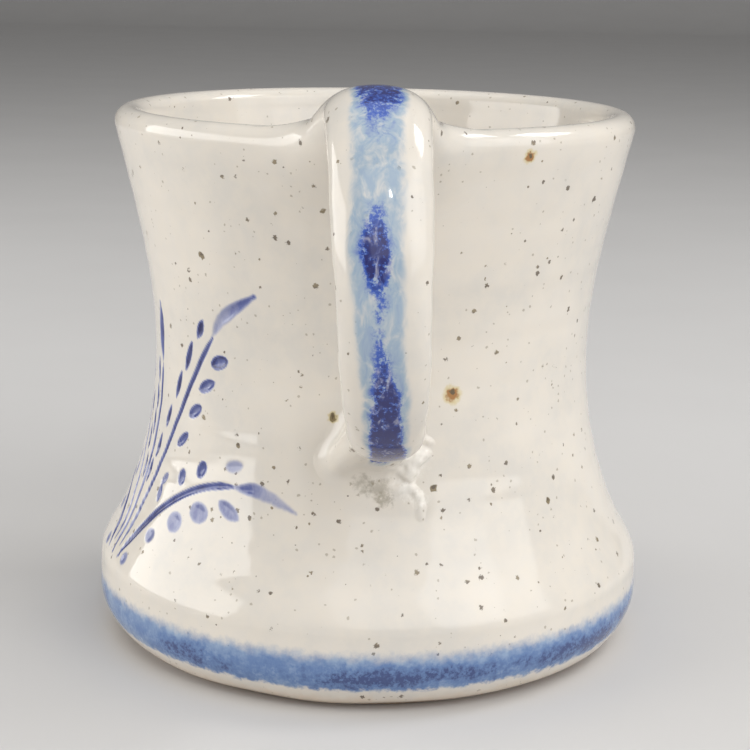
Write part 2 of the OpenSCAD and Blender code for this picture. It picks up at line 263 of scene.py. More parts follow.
def whole_spray():
    marks = half_spray(False) + half_spray(True)
    marks.append(stem_stroke(MIDDLE_STEM, 0.9, 0.8, 0.85, 0.34))
    for t in (0.66, 0.8, 0.95):
        marks.append(grain_stroke(MIDDLE_STEM, t, -1, 1, SLIVER, width=1.1, gap=2.4))
    tip = step_mm(on_stem(MIDDLE_STEM, 1.0), np.array([0.0, 0.8]))
    marks.append(blade_stroke(tip, [(0.3, 3.4), (-0.3, 3.2), (-0.5, 3.4)], 2.5,
                              [0.5, 0.7, 0.9, 0.8, 0.5], 0.3))
    return marks


def mark_distance(mark, a, z):
    """Distance in mm from points on the surface to a mark's edge, and the ink there."""
    r = profile_r(OUTSIDE, z)
    best = np.full(a.shape, 99.0)
    ink = np.zeros(a.shape)
    pts, widths, inks = mark["points"], mark["widths"], mark["ink"]
    for i in range(len(pts) - 1):
        u = (a - math.radians(SPRAY_AZ + pts[i][0])) * r
        v = z - (SPRAY_Z + pts[i][1])
        du = math.radians(pts[i + 1][0] - pts[i][0]) * r
        dv = pts[i + 1][1] - pts[i][1]
        t = np.clip((u * du + v * dv) / (du * du + dv * dv + 1e-9), 0, 1)
        dist = np.hypot(u - t * du, v - t * dv) - (widths[i] + (widths[i + 1] - widths[i]) * t)
        closer = dist < best
        best = np.where(closer, dist, best)
        ink = np.where(closer, inks[i] + (inks[i + 1] - inks[i]) * t, ink)
    return best, ink


def spray_fields(a, z):
    """Depth of the pressed marks and the ink in them, for points on the outside."""
    depth = np.zeros(a.shape)
    ink = np.zeros(a.shape)
    zone = (z > SPRAY_Z - 4) & (z < SPRAY_Z + 56) & (np.abs(np.degrees(a) - SPRAY_AZ) < 60)
    az, zz = a[zone], z[zone]
    zone_depth, zone_ink = np.zeros(az.shape), np.zeros(az.shape)
    for mark in whole_spray():
        dist, level = mark_distance(mark, az, zz)
        half = mark["widths"].max()
        bowl = smoothstep(0.12, -0.9 * half, dist)
        lip = 0.05 * np.exp(-((dist - 0.28) / 0.22) ** 2)
        zone_depth = np.maximum(zone_depth, mark["depth"] * bowl) - lip * (mark["depth"] > 0.2)
        cover = smoothstep(mark["soft"], -mark["soft"], dist)
        middle = smoothstep(0, -0.8 * half, dist)
        zone_ink = np.maximum(zone_ink, cover * level * (1 - mark["hollow"] * middle))
    depth[zone], ink[zone] = zone_depth, zone_ink
    return depth, ink


# ---- mesh helpers

def new_object(name, verts, loops, sizes, attributes=None):
    """A smooth-shaded object from vertices in mm, flat loop indices and face sizes."""
    mesh = bpy.data.meshes.new(name)
    verts = np.asarray(verts, np.float32) * MM
    mesh.vertices.add(len(verts))
    mesh.vertices.foreach_set("co", verts.ravel())
    mesh.loops.add(len(loops))
    mesh.loops.foreach_set("vertex_index", np.asarray(loops, np.int32))
    starts = np.concatenate([[0], np.cumsum(sizes)[:-1]]).astype(np.int32)
    mesh.polygons.add(len(sizes))
    mesh.polygons.foreach_set("loop_start", starts)
    mesh.polygons.foreach_set("use_smooth", np.ones(len(sizes), bool))
    mesh.update(calc_edges=True)
    mesh.validate()
    for key, values in (attributes or {}).items():
        layer = mesh.attributes.new(key, "FLOAT", "POINT")
        layer.data.foreach_set("value", np.asarray(values, np.float32).ravel())
    obj = bpy.data.objects.new(name, mesh)
    bpy.context.collection.objects.link(obj)
    return obj


def grid_quads(rows, cols):
    """Quads of a grid whose columns close on themselves."""
    i, j = np.meshgrid(np.arange(rows - 1), np.arange(cols), indexing="ij")
    k = (j + 1) % cols
    return np.stack([i * cols + j, i * cols + k, (i + 1) * cols + k, (i + 1) * cols + j], -1)


def fan(center, ring):
    """Triangles from one middle vertex to a ring of vertices."""
    return np.stack([np.full(len(ring), center), ring, np.roll(ring, -1)], -1)


AXIS = np.array([0.0, 0.0, 1.0])
ANYWHERE = np.array([1.0, 1.0, 1.0])


def tube_object(name, points, ends_on, attributes=None, flip=False):
    """Closed object from a (rows, columns, 3) grid, with a fan over each end.

    The fan's middle is the mean of the end row, kept only along the axes in ends_on.
    """
    rows, cols = points.shape[:2]
    count = rows * cols
    ends = np.array([points[0].mean(0) * ends_on, points[-1].mean(0) * ends_on])
    verts = np.concatenate([points.reshape(-1, 3), ends])
    quads = grid_quads(rows, cols).reshape(-1, 4)
    first = fan(count, np.arange(cols))
    last = fan(count + 1, count - cols + np.arange(cols))
    if flip:
        quads, last = quads[:, ::-1], last[:, [0, 2, 1]]
    else:
        first = first[:, [0, 2, 1]]
    loops = np.concatenate([quads.ravel(), first.ravel(), last.ravel()])
    sizes = np.concatenate([np.full(len(quads), 4), np.full(2 * cols, 3)])
    padded = {k: np.concatenate([np.ravel(v), [0, 0]]) for k, v in (attributes or {}).items()}
    return new_object(name, verts, loops, sizes, padded)


def round_points(a, r, z):
    """Points at angles a, radii r and heights z, as (x, y, z) on the last axis."""
    return np.stack([-r * np.sin(a), -r * np.cos(a), z], -1)


def spaced(a, b, step):
    """Evenly spaced values from a up to but without b, at most one step apart."""
    return list(np.linspace(a, b, max(2, int(math.ceil(abs(b - a) / step)) + 1))[:-1])


# ---- body: glaze and clay

# Depth of the glaze's hidden side at its lower edge, one row up and elsewhere
UNDER_DEPTHS = np.array([0.35, 0.9, 1.3])
# Depth of the clay under the glaze, at its lower edge and elsewhere
CLAY_EDGE_SINK, CLAY_SINK = 0.42, 1.0
FOOT_ROUND = 0.9
RING_SLOPE = 2.6


def column_angles():
    """Columns round the mug, close together where the wheat spray is."""
    low, high = math.radians(SPRAY_AZ - 57), math.radians(SPRAY_AZ + 57)
    fine = spaced(low, high, math.radians(0.48))
    coarse = spaced(high, low + 2 * math.pi, math.radians(1.3))
    return np.array(fine + coarse)


def wall_row(profile, z, side, part):
    """Radius, height and normal of a wall; side is 1 outside and -1 inside."""
    slope = float(profile_slope(profile, z))
    size = math.hypot(1, slope)
    return float(profile_r(profile, z)), z, side / size, -side * slope / size, part


def skin_rows():
    """Rows (r, z, normal r, normal z, part) of the glaze's visible side, foot to floor."""
    rows = []
    spray_top = SPRAY_Z + 54
    zs = (spaced(GLAZE_EDGE_Z, SPRAY_Z - 4, 0.5) + spaced(SPRAY_Z - 4, spray_top, 0.32)
          + spaced(spray_top, LIP_Z, 0.8))
    rows += [wall_row(OUTSIDE, z, 1, 0) for z in zs]
    for a in np.linspace(-RIM_TILT, math.pi - RIM_TILT, 25)[:-1]:
        rows.append((LIP_CR + LIP_R * math.cos(a), LIP_CZ + LIP_R * math.sin(a),
                     math.cos(a), math.sin(a), 1))
    low = INSIDE[0][0]
    rows += [wall_row(INSIDE, z, -1, 2) for z in spaced(LIP_Z, low, 1.3)]
    corner_r = INSIDE[0][1] - CORNER_R
    for a in np.linspace(0, -math.pi / 2, 16):
        rows.append((corner_r + CORNER_R * math.cos(a), low + CORNER_R * math.sin(a),
                     -math.cos(a), -math.sin(a), 3))
    for r in spaced(corner_r, 1.0, 2.0)[1:] + [1.0]:
        rows.append((r, FLOOR_Z, 0.0, 1.0, 4))
    return np.array(rows)


def inside_relief(a, z, r, part):
    """Throwing rings of the inside and the finger spiral on the floor."""
    wall = 0.12 * np.sin(z * 0.75 + a + 0.6) * (part == 2)
    floor = 0.18 * np.sin(r * 0.62 + a) * (part == 4) * smoothstep(1, 8, r)
    return wall * smoothstep(RIM_Z - 2, RIM_Z - 14, z) + floor


def build_glaze_skin():
    """The glaze over the body, as one closed shell with the pressed wheat spray in it."""
    a = column_angles()
    rows = skin_rows()
    r, z, nr, nz, part = [rows[:, i:i + 1] for i in range(5)]
    aa, zz = np.broadcast_to(a, (len(rows), len(a))), np.broadcast_to(z, (len(rows), len(a)))
    outside = part == 0
    depth, ink = spray_fields(aa * outside + 9 * ~outside, zz.copy())
    lift = np.where(part <= 1, throwing_relief(aa, zz), inside_relief(aa, zz, r, part)) - depth
    bead = 0.12 * np.exp(-((zz - GLAZE_EDGE_Z - 0.9) / 0.7) ** 2) * outside
    sag = 0.28 * (0.5 + 0.5 * np.sin(3 * aa + 0.7)) * (0.5 + 0.5 * np.sin(11 * aa)) * outside
    drop = sag * smoothstep(GLAZE_EDGE_Z + 3, GLAZE_EDGE_Z, zz)
    lift = lift + bead
    rr, hh = r + nr * lift, zz + nz * lift - drop
    hidden = np.concatenate([np.arange(len(rows) - 1, 0, -6), [1, 0]])
    inset = UNDER_DEPTHS[np.minimum(hidden, 2)][:, None]
    hr = r[hidden] - nr[hidden] * inset
    hz = zz[hidden] - nz[hidden] * inset - drop[hidden]
    shell = np.concatenate([round_points(aa[hidden], hr, hz), round_points(aa, rr, hh)])
    ink = np.concatenate([np.zeros(hz.shape), ink])
    return tube_object("body_glaze", shell, AXIS, {"spray_ink": ink})


def build_clay_body():
    """The clay under the glaze: bare at the foot, hidden everywhere else."""
    a = np.linspace(0, 2 * math.pi, 361)[:-1]
    rows = [(r, FOOT_RECESS) for r in spaced(1.0, FOOT_RING_R - RING_SLOPE, 1.1)]
    for t in np.linspace(0, 1, 8):
        depth = FOOT_RECESS * float(1 - smoothstep(0, 1, t))
        rows.append((FOOT_RING_R + RING_SLOPE * (t - 1), depth))
    rows += [(r, 0.0) for r in spaced(FOOT_RING_R + 0.8, FOOT_R - FOOT_ROUND, 0.9)]
    for t in np.linspace(0, math.pi / 2, 5)[:-1]:
        rows.append((FOOT_R - FOOT_ROUND * (1 - math.sin(t)), FOOT_ROUND * (1 - math.cos(t))))
    zs = spaced(FOOT_ROUND, GLAZE_EDGE_Z + 1.2, 0.4)
    rows += [(float(profile_r(OUTSIDE, z)) - CLAY_EDGE_SINK, z) for z in zs]
    for z in spaced(GLAZE_EDGE_Z + 1.6, LIP_Z, 3.0):
        rows.append((float(profile_r(OUTSIDE, z)) - CLAY_SINK, z))
    for t in np.linspace(0, math.pi, 7):
        lip = LIP_R - CLAY_SINK
        rows.append((LIP_CR + lip * math.cos(t), LIP_CZ + lip * math.sin(t)))
    for z in spaced(LIP_Z - 1, INSIDE[0][0], 3.0):
        rows.append((float(profile_r(INSIDE, z)) + CLAY_SINK, z))
    corner_r = INSIDE[0][1] - CORNER_R
    for t in np.linspace(0, -math.pi / 2, 8):
        rows.append((corner_r + (CORNER_R + CLAY_SINK) * math.cos(t),
                     INSIDE[0][0] + (CORNER_R + CLAY_SINK) * math.sin(t)))
    rows += [(r, FLOOR_Z - CLAY_SINK) for r in spaced(corner_r - 2, 1.0, 4.0) + [1.0]]
    rows = np.array(rows)
    r, z = np.broadcast_arrays(rows[:, :1], np.ones((1, len(a))))[0], rows[:, 1:2]
    aa = np.broadcast_to(a, r.shape)
    bottom = (z < 1.5) & (r < FOOT_RING_R)
    wire = 0.09 * np.sin(r * np.cos(aa - 0.5) * 1.1 + 0.02 * (r * np.sin(aa - 0.5)) ** 2)
    trim = 0.05 * np.sin(r * 1.9 + 0.5 * aa)
    edge = 0.07 * np.sin(7 * aa + 1) + 0.05 * np.sin(17 * aa + 2) + 0.03 * np.sin(41 * aa)
    zz = z + np.where(bottom, (wire + trim) * smoothstep(FOOT_RING_R - 1, FOOT_RING_R - 5, r), 0)
    rr = r + edge * ((z > 0) & (z < GLAZE_EDGE_Z + 1.5) & (r > FOOT_RING_R))
    return tube_object("clay_body", round_points(aa, rr, zz)[:, ::-1], AXIS)


# ---- handle

STRAP_TOP_T, STRAP_FOOT_T = 8.8, 7.2
CHANNEL = 0.12
LEAN_TOP, LEAN_FOOT = -0.8, 2.6
# Tangent length that makes a quarter of an ellipse
QUARTER = 1.66
STRAP_SIDES = 112
# Width of the strap and roundness of its section (2 is an ellipse), by share of the way
# from the crest (0) to the knuckle (1) and on into the lower joint
STRAP_SHARES = [-0.3, 0.0, 0.2, 0.42, 0.6, 0.75, 0.88, 0.96, 1.04, 1.2]
STRAP_WIDTHS = [15.6, 15.4, 14.8, 13.7, 12.9, 12.2, 11.3, 10.4, 9.6, 9.2]
STRAP_ROUNDS = [2.0, 2.0, 2.15, 2.3, 2.3, 2.2, 2.05, 1.95, 1.9, 1.9]
# Width and thickness the strap spreads to in its joints, and how quickly
UPPER_W, UPPER_T, UPPER_RATE = 40.0, 16.0, 1.5
LOWER_W, LOWER_T, LOWER_RATE = 12.5, 13.5, 1.9
LOWER_SHIFT = 1.9

CREST = np.array([RIM_R + 11.3, RIM_Z + 3.5])
FURTHEST = np.array([-HANDLE_LOW[1] - 3.98, RIM_Z - 21.0])
KNUCKLE = np.array([WAIST_R + 15.3, 49.2])
UPPER_END = np.array([RIM_R - 5.0, RIM_Z - 9.0])
LOWER_END = np.array([37.4, 44.2])


def handle_middle():
    """The strap's middle line as [out, up] points, with its arc lengths."""
    ex, ez = np.array([1.0, 0.0]), np.array([0.0, 1.0])
    d1, d2, d3 = FURTHEST - CREST, KNUCKLE - FURTHEST, LOWER_END - KNUCKLE
    spans = [(UPPER_END, CREST, np.array([14.0, 13.0]), np.array([16.0, 0.0])),
             (CREST, FURTHEST, QUARTER * d1 * ex, QUARTER * d1 * ez),
             (FURTHEST, KNUCKLE, QUARTER * d2 * ez, QUARTER * d2 * ex),
             (KNUCKLE, LOWER_END, d3 * ex, np.array([d3[0], -6.0]))]
    pts = [hermite(p, q, tp, tq, t) for p, q, tp, tq in spans for t in np.linspace(0, 1, 80)[:-1]]
    pts = np.array(pts + [LOWER_END])
    s = np.concatenate([[0], np.cumsum(np.linalg.norm(np.diff(pts, axis=0), axis=1))])
    even = np.linspace(0, s[-1], 420)
    line = np.stack([np.interp(even, s, pts[:, i]) for i in (0, 1)], -1)
    for _ in range(6):
        line[1:-1] = (line[:-2] + 2 * line[1:-1] + line[2:]) / 4
    return line, even


LINE, ARC = handle_middle()
TANGENT = np.gradient(LINE, ARC, axis=0)
TANGENT /= np.linalg.norm(TANGENT, axis=1)[:, None]
OUTWARD = np.stack([-TANGENT[:, 1], TANGENT[:, 0]], -1)
LENGTH = ARC[-1]
CREST_S = float(ARC[np.argmin(np.hypot(*(LINE - CREST).T))])
KNUCKLE_S = float(ARC[np.argmin(np.hypot(*(LINE - KNUCKLE).T))])


def spreads(s):
    """How far the strap has spread into its upper and its lower joint, 0 to 1."""
    out = np.interp(s, ARC, LINE[:, 0])
    up = np.clip(1 - (out - UPPER_END[0]) / (CREST[0] - UPPER_END[0]), 0, 1) * (s < CREST_S)
    low = np.clip(1 - (out - LOWER_END[0]) / (KNUCKLE[0] - LOWER_END[0]), 0, 1) * (s > KNUCKLE_S)
    return up ** UPPER_RATE, low ** LOWER_RATE


def lean(s):
    across = LEAN_TOP + (LEAN_FOOT - LEAN_TOP) * np.sin(math.pi / 2 * np.clip(s / LENGTH, 0, 1))
    return across - LOWER_SHIFT * spreads(s)[1]


def strap_share(s):
    return (s - CREST_S) / (KNUCKLE_S - CREST_S)


def roundness(s):
    return np.interp(strap_share(s), STRAP_SHARES, STRAP_ROUNDS)


def half_sizes(s, flare=False):
    """Half the width and half the thickness of the strap at arc length s."""
    t = np.clip(strap_share(s), 0, 1)
    width = np.interp(strap_share(s), STRAP_SHARES, STRAP_WIDTHS)
    thick = STRAP_TOP_T + (STRAP_FOOT_T - STRAP_TOP_T) * t
    width = width + 0.16 * np.sin(s * 0.31 + 0.5) + 0.08 * np.sin(s * 0.83)
    thick = thick + 0.12 * np.sin(s * 0.23 + 1.7)
    up, low = spreads(s)
    width = width + (UPPER_W - width) * up * flare + (LOWER_W - width) * low
    thick = thick + (UPPER_T - thick) * up * flare + (LOWER_T - thick) * low
    return width / 2, thick / 2


def power(v, p):
    return np.sign(v) * np.abs(v) ** p


def channel(share):
    """Depth of the thumb channel across the strap, share being 1 at the strap's side."""
    return CHANNEL * np.maximum(0, 1 - (share / 0.6) ** 2) ** 1.2


def build_strap():
    """The pulled strap with its glaze, running into the wall at both ends."""
    s = ARC
    a = np.linspace(0, 2 * math.pi, STRAP_SIDES + 1)[:-1]
    w, t = half_sizes(s)
    bend = 2 / roundness(s)[:, None]
    x = power(np.cos(a)[None, :], bend)
    n = power(np.sin(a)[None, :], bend) * t[:, None]
    n = n - channel(x) * (np.sin(a) > 0)[None, :]
    x = x * w[:, None]
    out = LINE[:, 0:1] + OUTWARD[:, 0:1] * n
    up = LINE[:, 1:2] + OUTWARD[:, 1:2] * n
    points = np.stack([x + lean(s)[:, None], -out, up], -1)
    wash, dark = stroke_ink(np.broadcast_to(s[:, None], x.shape), x, n)
    return tube_object("strap", points, ANYWHERE, {"stroke_wash": wash, "stroke_dark": dark},
                       flip=True)


# The brushed stroke, by share of the way from the crest (0) to the knuckle (1): the share, how
# strong the wash and the dark pigment are, half the width of each and the middle's shift, in mm
STROKE = np.array([
    (-0.2, 0.0, 0.0, 2.6, 2.2, 0.2), (-0.08, 0.9, 0.6, 3.6, 3.2, 0.2),
    (0.0, 1.0, 0.85, 3.9, 3.6, 0.2), (0.08, 0.95, 0.75, 3.8, 3.3, 0.0),
    (0.13, 0.8, 0.45, 3.6, 2.0, -0.3), (0.2, 0.6, 0.2, 3.6, 1.3, -0.4),
    (0.28, 0.55, 0.2, 3.7, 1.3, -0.6), (0.33, 0.7, 0.7, 3.7, 1.8, -0.8),
    (0.38, 0.8, 1.15, 3.6, 2.1, -0.9), (0.42, 0.75, 1.0, 3.6, 1.9, -0.9),
    (0.46, 0.66, 0.6, 3.5, 1.5, -0.8), (0.53, 0.6, 0.5, 3.3, 1.1, -0.5),
    (0.6, 0.66, 0.75, 3.2, 1.4, -0.3), (0.66, 0.78, 1.1, 3.1, 2.0, 0.0),
    (0.85, 0.9, 1.45, 2.9, 2.5, 0.3), (1.0, 0.95, 1.45, 2.8, 2.6, 0.3),
    (1.14, 1.0, 1.3, 2.6, 2.4, 0.2), (1.2, 0.0, 0.0, 1.4, 1.4, 0.0)])


def stroke_ink(s, x, n):
    """Wash and dark pigment of the brushed stroke, at arc length s and x mm across."""
    t = strap_share(s)
    outer = smoothstep(0.3, 1.4, n)
    wash, dark, wide, tight, shift = [np.interp(t, STROKE[:, 0], row) for row in STROKE.T[1:]]
    waver = 0.25 * np.sin(s * 0.45) + 0.15 * np.sin(s * 1.1 + 1)
    across = np.abs(x - shift + waver * 0.6)
    wash_now = wash * smoothstep(wide + 1.0, wide - 1.0, across)
    dark_now = dark * smoothstep(tight + 1.2, tight - 1.2, across)
    return wash_now * outer, dark_now * outer


# ---- joints as blended solids

def strap_place(out, up):
    """Arc length of the nearest point on the middle line, the offset outwards, the overrun."""
    shape = out.shape
    p = np.stack([out.ravel(), up.ravel()], -1)
    s = np.empty(len(p))
    for i in range(0, len(p), 20000):
        part = p[i:i + 20000]
        gap = ((part[:, None] - LINE[None, ::3]) ** 2).sum(-1)
        k = gap.argmin(1) * 3
        s[i:i + 20000] = ARC[k] + ((part - LINE[k]) * TANGENT[k]).sum(-1)
    inside = np.clip(s, 0, LENGTH)
    middle, normal = [np.stack([np.interp(inside, ARC, v[:, i]) for i in (0, 1)], -1)
                      for v in (LINE, OUTWARD)]
    n = ((p - middle) * normal).sum(-1)
    over = np.maximum(-s, s - LENGTH)
    return inside.reshape(shape), n.reshape(shape), over.reshape(shape)


def strap_field(x, out, up):
    """Signed distance in mm to the strap with its flared ends."""
    s, n, over = strap_place(out, up)
    w, t = half_sizes(s, flare=True)
    xs = (x - lean(s)) / w
    t = t - channel(xs) * (n > 0)
    spread = spreads(s)[0]
    pinch = 1 - 0.8 * spread * smoothstep(1, -1, n / t)
    t = t * np.where(n < 0, 1 - 0.6 * spread, 1)
    xs = np.abs(xs) / pinch + 1e-6
    ns = np.abs(n / t) + 1e-6
    k = roundness(s)
    q = (xs ** k + ns ** k) ** (1 / k)
    grad = q ** (1 - k) * np.hypot(xs ** (k - 1) / (w * pinch), ns ** (k - 1) / t)
    return np.maximum((q - 1) / np.maximum(grad, 1e-3), over)


def body_field(x, out, up):
    """Signed distance in mm to the glazed wall, lip included."""
    rho = np.hypot(x, out)
    a = np.arctan2(-x, out)
    cos_out = 1 / np.hypot(1, profile_slope(OUTSIDE, up))
    outer = (rho - profile_r(OUTSIDE, up)) * cos_out
    inner = profile_r(INSIDE, up) - rho
    lip = np.hypot(rho - LIP_CR, up - LIP_CZ) - LIP_R
    wall = np.where(up > LIP_Z, lip, np.maximum(outer, inner))
    return wall - throwing_relief(a, up)


def blend(a, b, k):
    """Smooth union of two distances, with a fillet about k wide."""
    h = np.clip(0.5 + 0.5 * (b - a) / k, 0, 1)
    return b * (1 - h) + a * h - k * h * (1 - h)


def cells_round(edges, axes, corner, shape):
    """The grid cell at one of the four corners round each edge, and whether it exists."""
    cells = edges.copy()
    for axis, back in zip(axes, corner):
        cells[:, axis] -= back
    return cells, ((cells >= 0) & (cells < shape)).all(1)


RING = ((0, 0), (1, 0), (1, 1), (0, 1))


def surface_net(field, low, high, cell):
    """Quad mesh of field = 0 in a box, pulled exactly on to the surface."""
    grid = np.meshgrid(*[np.arange(low[i], high[i] + cell, cell) for i in range(3)], indexing="ij")
    f = field(*grid)
    sign = f < 0
    shape = np.array(f.shape) - 1
    total, hits = np.zeros((*shape, 3)), np.zeros(shape)
    crossings = []
    for axis in range(3):
        lo, hi = [slice(None)] * 3, [slice(None)] * 3
        lo[axis], hi[axis] = slice(None, -1), slice(1, None)
        fa, fb = f[tuple(lo)], f[tuple(hi)]
        cross = sign[tuple(lo)] != sign[tuple(hi)]
        edges = np.argwhere(cross)
        place = edges.astype(float)
        place[:, axis] += fa[cross] / (fa[cross] - fb[cross])
        for corner in RING:
            cells, real = cells_round(edges, ((axis + 1) % 3, (axis + 2) % 3), corner, shape)
            np.add.at(total, tuple(cells[real].T), place[real])
            np.add.at(hits, tuple(cells[real].T), 1)
        crossings.append((axis, edges, sign[tuple(lo)][cross]))
    active = hits > 0
    number = np.full(shape, -1)
    number[active] = np.arange(active.sum())
    verts = total[active] / hits[active][:, None] * cell + np.array(low)
    quads = []
    for axis, edges, inside in crossings:
        corners = []
        for corner in RING:
            cells, real = cells_round(edges, ((axis + 1) % 3, (axis + 2) % 3), corner, shape)
            found = number[tuple(np.clip(cells, 0, shape - 1).T)]
            corners.append(np.where(real, found, -1))
        quad = np.stack(corners, -1)
        quad[~inside] = quad[~inside][:, ::-1]
        quads.append(quad[(quad >= 0).all(1)])
    quads = np.concatenate(quads)
    for _ in range(3):
        verts = pull(field, relax(verts, quads, 0.5), 2)
    return verts, quads


def relax(verts, quads, share):
    """Move every vertex part of the way to the mean of its neighbours."""
    pairs = np.concatenate([quads[:, [k, (k + 1) % 4]] for k in range(4)])
    total, count = np.zeros_like(verts), np.zeros(len(verts))
    for i, j in ((0, 1), (1, 0)):
        np.add.at(total, pairs[:, i], verts[pairs[:, j]])
        np.add.at(count, pairs[:, i], 1)
    return verts + share * (total / np.maximum(count, 1)[:, None] - verts)


def pull(field, verts, times):
    """Newton steps on to field = 0."""
    step = 0.02
    for _ in range(times):
        f = field(*verts.T)
        grad = np.empty_like(verts)
        for i in range(3):
            moved = verts.copy()
            moved[:, i] += step
            grad[:, i] = (field(*moved.T) - f) / step
        size = np.maximum((grad ** 2).sum(1), 0.05)
        verts = verts - np.clip(f / size, -0.4, 0.4)[:, None] * grad
    return verts


def smooth_cut(a, b, k):
    """Smooth intersection of two distances."""
    return -blend(-a, -b, k)


def cup_field(x, out, up):
    """Signed distance in mm to everything inside the cup, opening out over the lip."""
    inner = profile_r(INSIDE, np.minimum(up, LIP_Z))
    over = LIP_CR - LIP_R + 0.9 * (up - LIP_CZ)
    return np.where(up < LIP_CZ, inner, np.maximum(inner, over)) + 0.06 - np.hypot(x, out)


# How far a joint's skin lies under the plain wall and strap, and a dab stands off the wall
SINK = 0.03
DAB_LIFT = 0.1


def box_field(x, out, up, low, high):
    return np.maximum.reduce([low[0] - x, x - high[0], low[1] - out, out - high[1],
                              low[2] - up, up - high[2]])


def on_wall(a, z, lift=0.0):
    """A point (x, out, up) on the wall at angle a and height z."""
    r = float(profile_r(OUTSIDE, z)) + lift
    return np.array([-r * math.sin(math.radians(a)), r * math.cos(math.radians(a)), z])


def dab(x, out, up, a, z, radius, flat):
    """Distance to a rounded dab of glaze sitting on the wall at angle a and height z."""
    middle = on_wall(a, z, DAB_LIFT)
    face_x, face_out = -math.sin(math.radians(a)), math.cos(math.radians(a))
    dx, dout = x - middle[0], out - middle[1]
    away = dx * face_x + dout * face_out
    along = dx * face_out - dout * face_x
    size = np.sqrt((away / flat) ** 2 + along ** 2 + (up - z) ** 2)
    return (size - radius) * min(1, flat) ** 0.5


# Crumbs of slip and glaze beside the lower joint: angle, height, radius, flatness
CRUMBS = [(-8.8, 42.2, 1.3, 0.9), (-10.6, 40.8, 1.5, 0.75), (-12.8, 41.6, 0.9, 0.7),
          (-9.2, 38.6, 1.2, 0.75), (-13.8, 43.6, 0.55, 0.6), (-4.2, 36.6, 0.9, 0.6),
          (-1.2, 37.0, 0.8, 0.6)]
# Ridge that the pushed slip left under the joint, as (angle, height) along its crest
RIDGE = [(-4.4, 35.2), (-6.0, 36.0), (-7.8, 36.5), (-9.6, 36.3), (-11.0, 35.2), (-11.8, 33.4),
         (-11.6, 31.8)]
# Web from the strap's side down to the wall: x, distance out and height of its ends
BUTTRESS = [(-0.9, 49.6, 47.4), (-4.9, 38.4, 40.4)]


def rod(x, out, up, p, q, radius_p, radius_q):
    """Distance to a tapered rod from p to q."""
    d = q - p
    t = np.clip(((x - p[0]) * d[0] + (out - p[1]) * d[1] + (up - p[2]) * d[2]) / (d @ d), 0, 1)
    away = np.sqrt((x - p[0] - t * d[0]) ** 2 + (out - p[1] - t * d[1]) ** 2
                   + (up - p[2] - t * d[2]) ** 2)
    return away - (radius_p + (radius_q - radius_p) * t)


def ragged(x, up):
    """Small broken relief for worked slip, in mm."""
    coarse = np.sin(x * 1.9 + 1.1 * np.sin(up * 1.3)) * np.sin(up * 2.1 + 0.8 * np.sin(x * 1.1))
    fine = np.sin(x * 4.1 + up * 2.3) * np.sin(up * 3.1 - x * 2.2)
    return 0.16 * coarse + 0.05 * fine


# Lowest and highest (x, out, up) of each joint's mesh
UPPER_BOX = ((-25, 38, 71), (23, 62, 103))
LOWER_BOX = ((-9.4, 36, 28), (16, 60, 57))


def joint_object(name, box, cell, fillet, crumbs):
    """One worked joint: wall and strap blended with a fillet, sunk slightly elsewhere."""
    low, high = box

    def field(x, out, up):
        strap = strap_field(x, out, up) + SINK
        wall = body_field(x, out, up) + SINK
        f = smooth_cut(blend(strap, wall, fillet), cup_field(x, out, up), 1.2)
        if crumbs:
            ends = [np.array(p) for p in BUTTRESS]
            f = blend(f, rod(x, out, up, ends[0], ends[1], 2.2, 2.3), 2.4)
            for a, z, radius, flat in CRUMBS:
                f = blend(f, dab(x, out, up, a, z, radius, flat), 0.7)
            crest = [on_wall(a, z, -0.15) for a, z in RIDGE]
            for i in range(len(crest) - 1):
                f = blend(f, rod(x, out, up, crest[i], crest[i + 1], 0.66, 0.62), 0.5)
            rough = smoothstep(1.0, 4.0, x) * smoothstep(46, 43, up) * smoothstep(33, 35, up)
            f = f - ragged(x, up) * rough * smoothstep(-0.04, 0.25, wall - f)
        return np.maximum(f, box_field(x, out, up, low, high))

    pad = 1.2
    verts, quads = surface_net(field, np.array(low) - pad, np.array(high) + pad, cell)
    s, n, _ = strap_place(verts[:, 1], verts[:, 2])
    wash, dark = stroke_ink(s, verts[:, 0] - lean(s), n)
    near = smoothstep(0.5, 0.1, strap_field(*verts.T))
    return new_object(name, verts * [1, -1, 1], quads[:, ::-1].ravel(), np.full(len(quads), 4),
                      {"stroke_wash": wash * near, "stroke_dark": dark * near})


# ---- materials

